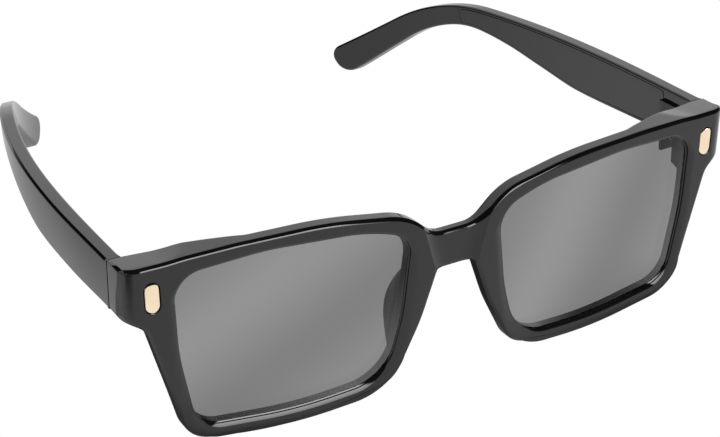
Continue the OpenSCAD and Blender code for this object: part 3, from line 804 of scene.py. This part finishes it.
MATERIALS = {
    "acetate_front": surface("acetate_front", (0.0035, 0.0035, 0.0037), (0.0055, 0.0055, 0.0058),
                             (0.025, 0.05), scale=60, bump=0.02, bump_scale=500),
    "acetate_temple": surface("acetate_temple", (0.0035, 0.0035, 0.0037), (0.0055, 0.0055, 0.0058),
                              (0.03, 0.06), scale=60, bump=0.03, bump_scale=500),
    "acetate_cover": surface("acetate_cover", (0.0045, 0.0045, 0.0048), (0.007, 0.007, 0.0074), (0.06, 0.1),
                             scale=80, bump=0.05, bump_scale=900),
    "lens_tint": lens_material(),
    "soft_rubber": surface("soft_rubber", (0.006, 0.006, 0.006), (0.010, 0.010, 0.010), (0.22, 0.32),
                           scale=300, bump=0.1, bump_scale=2500),
    "gold_metal": surface("gold_metal", (0.93, 0.74, 0.53), (0.97, 0.8, 0.6), (0.16, 0.24),
                          metallic=1.0, scale=300, bump=0.08, bump_scale=2500, bump_stretch=(1, 1, 0.05)),
    "hinge_steel": surface("hinge_steel", (0.03, 0.03, 0.032), (0.06, 0.06, 0.063), (0.22, 0.38),
                           metallic=1.0, scale=1200, stretch=(1, 1, 0.1), bump=0.3, bump_scale=5000),
    "screw_steel": surface("screw_steel", (0.5, 0.5, 0.51), (0.7, 0.7, 0.71), (0.15, 0.3), metallic=1.0,
                           scale=1500, bump=0.2, bump_scale=6000),
    "battery_foil": surface("battery_foil", (0.55, 0.56, 0.58), (0.75, 0.76, 0.78), (0.25, 0.45),
                            metallic=1.0, scale=500, bump=0.4, bump_scale=900),
    "board_laminate": surface("board_laminate", (0.01, 0.07, 0.035), (0.02, 0.13, 0.06), (0.25, 0.4),
                              scale=900, bump=0.3, bump_scale=3000),
    "can_steel": surface("can_steel", (0.5, 0.5, 0.51), (0.65, 0.65, 0.66), (0.25, 0.4), metallic=1.0,
                         scale=800, bump=0.2, bump_scale=4000),
    "flex_film": surface("flex_film", (0.3, 0.12, 0.03), (0.45, 0.2, 0.06), (0.2, 0.35), scale=500,
                         bump=0.1, bump_scale=2000),
    "speaker_body": surface("speaker_body", (0.02, 0.02, 0.021), (0.04, 0.04, 0.042), (0.5, 0.7), scale=900,
                            bump=0.3, bump_scale=4000),
    "mesh_steel": surface("mesh_steel", (0.06, 0.06, 0.062), (0.22, 0.22, 0.225), (0.3, 0.45), metallic=1.0,
                          scale=3500, bump=0.8, bump_scale=6000),
    "microphone_can": surface("microphone_can", (0.45, 0.33, 0.14), (0.6, 0.46, 0.22), (0.25, 0.4),
                              metallic=1.0, scale=900, bump=0.2, bump_scale=4000),
    "contact_gold": surface("contact_gold", (0.8, 0.56, 0.26), (0.95, 0.72, 0.38), (0.12, 0.25),
                            metallic=1.0, scale=1500, bump=0.2, bump_scale=5000),
    "magnet_nickel": surface("magnet_nickel", (0.6, 0.6, 0.61), (0.72, 0.72, 0.73), (0.12, 0.25),
                             metallic=1.0, scale=700, bump=0.1, bump_scale=3000),
    "core_steel": surface("core_steel", (0.4, 0.4, 0.41), (0.55, 0.55, 0.56), (0.25, 0.4), metallic=1.0,
                          scale=900, stretch=(1, 0.1, 1), bump=0.2, bump_scale=3000),
    "button_plastic": surface("button_plastic", (0.006, 0.006, 0.0065), (0.012, 0.012, 0.013), (0.16, 0.26),
                              scale=500, bump=0.2, bump_scale=4000),
    "led_lens": surface("led_lens", (0.7, 0.72, 0.73), (0.85, 0.87, 0.88), (0.2, 0.35), scale=900,
                        bump=0.1, bump_scale=3000),
}

slot_of = {entry["node"]: entry["material_slot"] for entry in frame["record"]["subparts"]}
for node, obj in frame["nodes"].items():
    obj.data.materials.clear()
    obj.data.materials.append(MATERIALS[slot_of[node]])


def fit(piece, body, slot, *nodes):
    """Puts a piece on its body, in its finish, in place of CAD nodes."""
    piece.data.materials.clear()
    piece.data.materials.append(MATERIALS[slot])
    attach(piece, body)
    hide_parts(*nodes)


fit(make_front(), "front", "acetate_front", "front_frame")
for side, hand in ((1, "left"), (-1, "right")):
    fit(make_lens(side), "front", "lens_tint", "lens_" + hand)
    fit(make_rivet(side), "front", "gold_metal", "rivet_" + hand)
    fit(make_pad(side), "front", "soft_rubber", "nose_pad_" + hand)
    fit(make_temple(side), "temple_" + hand, "acetate_temple", "temple_shell_" + hand)
    fit(make_cover(side), "temple_" + hand, "acetate_cover", "temple_cover_" + hand)


# ---------------------------------------------------------------- stage
def blend_level(tree, mask, value, base):
    """value where mask is 1 and base where it is 0."""
    node = tree.nodes.new("ShaderNodeMix")
    node.data_type = "FLOAT"
    tree.links.new(mask, node.inputs[0])
    for socket, item in ((node.inputs[2], base), (node.inputs[3], value)):
        if isinstance(item, float):
            socket.default_value = item
        else:
            tree.links.new(item, socket)
    return node.outputs[0]


def fade(tree, source, low, high):
    """0 at low to 1 at high, either way round."""
    node = tree.nodes.new("ShaderNodeMapRange")
    node.interpolation_type = "SMOOTHSTEP"
    node.inputs["From Min"].default_value = low
    node.inputs["From Max"].default_value = high
    tree.links.new(source, node.inputs["Value"])
    return node.outputs["Result"]


bpy.ops.mesh.primitive_grid_add(x_subdivisions=8, y_subdivisions=8, size=6.0, location=(0, 0, -0.0004))
floor = bpy.context.object
floor.name = "floor"
material, nodes, links, shader = node_material("pale_floor")
tree = material.node_tree
nodes.remove(shader)
spot = nodes.new("ShaderNodeTexCoord").outputs["Object"]
level = 0.95
# The camera sees an even floor. Reflections see dimmer pools on it: two far ones in place of a studio's dark
# panels, and three under the front as painted shadow under the object:
# [middle of a pool, its radius, brightness there]
for middle, radius, value in (
        ((-0.17, 0.1, 0), 0.17, 0.38), ((-0.17, -0.135, 0), 0.07, 0.05), ((-0.055, -0.04, 0), 0.05, 0.06),
        ((0, -0.04, 0), 0.05, 0.06), ((0.055, -0.04, 0), 0.05, 0.06)):
    away = nodes.new("ShaderNodeVectorMath")
    away.operation = "DISTANCE"
    away.inputs[1].default_value = middle
    links.new(spot, away.inputs[0])
    level = blend_level(tree, fade(tree, away.outputs["Value"], radius, radius * 0.4), value, level)
path = nodes.new("ShaderNodeLightPath")
level = blend_level(tree, path.outputs["Is Camera Ray"], 1.0, level)
glow = nodes.new("ShaderNodeEmission")
links.new(level, glow.inputs["Strength"])
links.new(glow.outputs["Emission"], nodes["Material Output"].inputs["Surface"])
floor.data.materials.append(material)

world = bpy.data.worlds.new("studio")
scene.world = world
world.use_nodes = True
tree = world.node_tree
background = tree.nodes["Background"]
direction = tree.nodes.new("ShaderNodeTexCoord").outputs["Generated"]
split = tree.nodes.new("ShaderNodeSeparateXYZ")
tree.links.new(direction, split.inputs["Vector"])


def times(a, b):
    node = tree.nodes.new("ShaderNodeMath")
    node.operation = "MULTIPLY"
    tree.links.new(a, node.inputs[0])
    tree.links.new(b, node.inputs[1])
    return node.outputs[0]


def rise_of(degrees):
    """Z of a direction at that elevation."""
    return math.sin(math.radians(degrees))


# White walls, a dark ceiling from low in front to past the zenith, a low dark flank at the -X side, and
# a softbox in front that grows brighter towards its top. The camera sees plain white.
height = split.outputs["Z"]
frontal = fade(tree, split.outputs["Y"], 0.3, 0.05)
ceiling = times(fade(tree, height, rise_of(-8), rise_of(4)), frontal)
level = blend_level(tree, ceiling, 0.012, 1.05)
flank = times(fade(tree, height, rise_of(-8), rise_of(4)), fade(tree, height, rise_of(24), rise_of(18)))
flank = times(flank, fade(tree, split.outputs["X"], 0.05, -0.15))
level = blend_level(tree, flank, 0.012, level)
box = times(fade(tree, height, rise_of(-12), rise_of(-6)), fade(tree, height, rise_of(43), rise_of(40)))
box = times(box, fade(tree, split.outputs["Y"], -0.3, -0.4))
box = times(box, fade(tree, split.outputs["X"], -0.02, 0.08))
box = times(box, fade(tree, split.outputs["X"], 0.48, 0.42))
rise = tree.nodes.new("ShaderNodeMapRange")
rise.inputs["From Min"].default_value = rise_of(-12)
rise.inputs["From Max"].default_value = rise_of(38)
rise.inputs["To Min"].default_value = 2.2
rise.inputs["To Max"].default_value = 12.0
tree.links.new(height, rise.inputs["Value"])
level = blend_level(tree, box, rise.outputs["Result"], level)
path = tree.nodes.new("ShaderNodeLightPath")
level = blend_level(tree, path.outputs["Is Camera Ray"], 1.0, level)
tree.links.new(level, background.inputs["Strength"])
background.inputs["Color"].default_value = (1, 1, 1, 1)

scene.view_settings.view_transform = "Standard"
scene.view_settings.look = "None"

# ---------------------------------------------------------------- camera
azimuth, elevation, roll = (math.radians(a) for a in (27.299, 25.967, -2.885))
forward = Vector((
    math.sin(azimuth) * math.cos(elevation), math.cos(azimuth) * math.cos(elevation), -math.sin(elevation)))
across = Vector((math.cos(azimuth), -math.sin(azimuth), 0))
above = across.cross(forward)
right = across * math.cos(roll) + above * math.sin(roll)
up = above * math.cos(roll) - across * math.sin(roll)
data = bpy.data.cameras.new("camera")
camera = bpy.data.objects.new("camera", data)
scene.collection.objects.link(camera)
data.sensor_width = 36
data.lens = 36 * 1720 / 720
data.clip_start = 0.01
data.clip_end = 20
axes = Matrix((TURN @ right, TURN @ up, TURN @ -forward)).transposed()
camera.matrix_world = Matrix.Translation(place((-167.931, -279.384, 153.859))) @ axes.to_4x4()
scene.camera = camera
